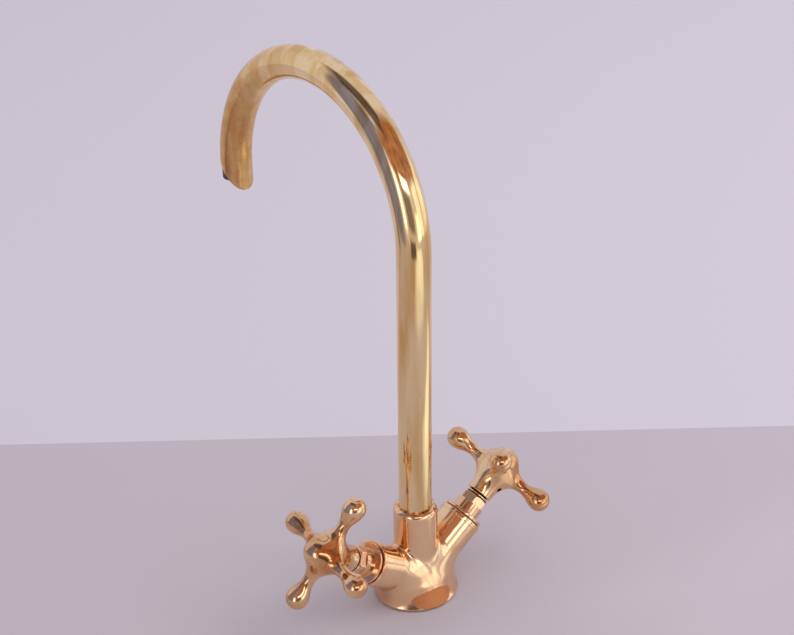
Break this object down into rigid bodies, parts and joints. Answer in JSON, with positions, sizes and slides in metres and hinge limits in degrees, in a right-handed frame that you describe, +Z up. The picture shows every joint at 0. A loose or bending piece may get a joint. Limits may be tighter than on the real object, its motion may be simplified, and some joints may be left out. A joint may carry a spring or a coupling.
{
  "type": "kitchen faucet",
  "caption": "Deck-mounted two-handle kitchen mixer tap with a high swivelling gooseneck spout, cross handles with ball ends and a bell-shaped base.",
  "frame": {"origin": "centre of the flat underside of the base, on the worktop", "axes": "+Z up along the spout's riser; the spout points along -Y; the hot branch rises towards -X and the cold branch towards +X"},
  "size_m": [0.2009, 0.2428, 0.3575],
  "materials": {
    "cast_brass": "polished cast brass, bare, slightly coppery",
    "spout_brass": "polished drawn brass tube, bare, with tarnish streaks",
    "handle_brass": "polished cast brass, bare",
    "headwork_brass": "polished turned brass, bare",
    "screw_brass": "polished brass, darkened",
    "machined_brass": "turned brass, unpolished",
    "black_plastic": "moulded black ABS",
    "white_acetal": "moulded white acetal",
    "stainless_steel": "plain stainless steel",
    "black_rubber": "moulded black rubber",
    "fibre_gasket": "pressed dark red fibre"
  },
  "bodies": {
    "faucet_body": {"body": "cast_brass", "base_gasket": "black_rubber", "spout_retaining_screw": "screw_brass", "hot_bonnet": "headwork_brass", "hot_bonnet_gasket": "fibre_gasket", "hot_gland_nut": "headwork_brass", "hot_gland_packing": "black_rubber", "cold_bonnet": "headwork_brass", "cold_bonnet_gasket": "fibre_gasket", "cold_gland_nut": "headwork_brass", "cold_gland_packing": "black_rubber"},
    "spout": {"spout_tube": "spout_brass", "spout_spigot": "machined_brass", "spout_o_rings": "black_rubber", "spout_thrust_ring": "white_acetal", "aerator_housing": "black_plastic", "flow_straightener": "white_acetal", "aerator_screen": "stainless_steel"},
    "hot_handle": {"hot_handle": "handle_brass", "hot_grub_screw": "stainless_steel", "hot_spindle": "machined_brass", "hot_spindle_o_rings": "black_rubber"},
    "hot_valve": {"hot_valve_carrier": "machined_brass", "hot_valve_washer": "black_rubber", "hot_washer_screw": "machined_brass"},
    "cold_handle": {"cold_handle": "handle_brass", "cold_grub_screw": "stainless_steel", "cold_spindle": "machined_brass", "cold_spindle_o_rings": "black_rubber"},
    "cold_valve": {"cold_valve_carrier": "machined_brass", "cold_valve_washer": "black_rubber", "cold_washer_screw": "machined_brass"}
  },
  "joints": [
    {"name": "spout_swivel", "type": "hinge", "parent": "faucet_body", "child": "spout", "pos_m": [0, 0, 0.0665], "axis": [0, 0, 1], "continuous": true},
    {"name": "hot_handle_turn", "type": "hinge", "parent": "faucet_body", "child": "hot_handle", "pos_m": [0, 0, 0.0105], "axis": [-0.8141, 0, 0.5807], "range_deg": [0, 840]},
    {"name": "hot_valve_lift", "type": "slide", "parent": "faucet_body", "child": "hot_valve", "axis": [-0.8141, 0, 0.5807], "range_m": [0, 0.00467]},
    {"name": "cold_handle_turn", "type": "hinge", "parent": "faucet_body", "child": "cold_handle", "pos_m": [0, 0, 0.0105], "axis": [0.8141, 0, 0.5807], "range_deg": [0, 840]},
    {"name": "cold_valve_lift", "type": "slide", "parent": "faucet_body", "child": "cold_valve", "axis": [0.8141, 0, 0.5807], "range_m": [0, 0.00467]}
  ],
  "couplings": [
    {"joint": "hot_valve_lift", "follows": "hot_handle_turn", "m_per_rad": 0.00031831},
    {"joint": "cold_valve_lift", "follows": "cold_handle_turn", "m_per_rad": 0.00031831}
  ]
}
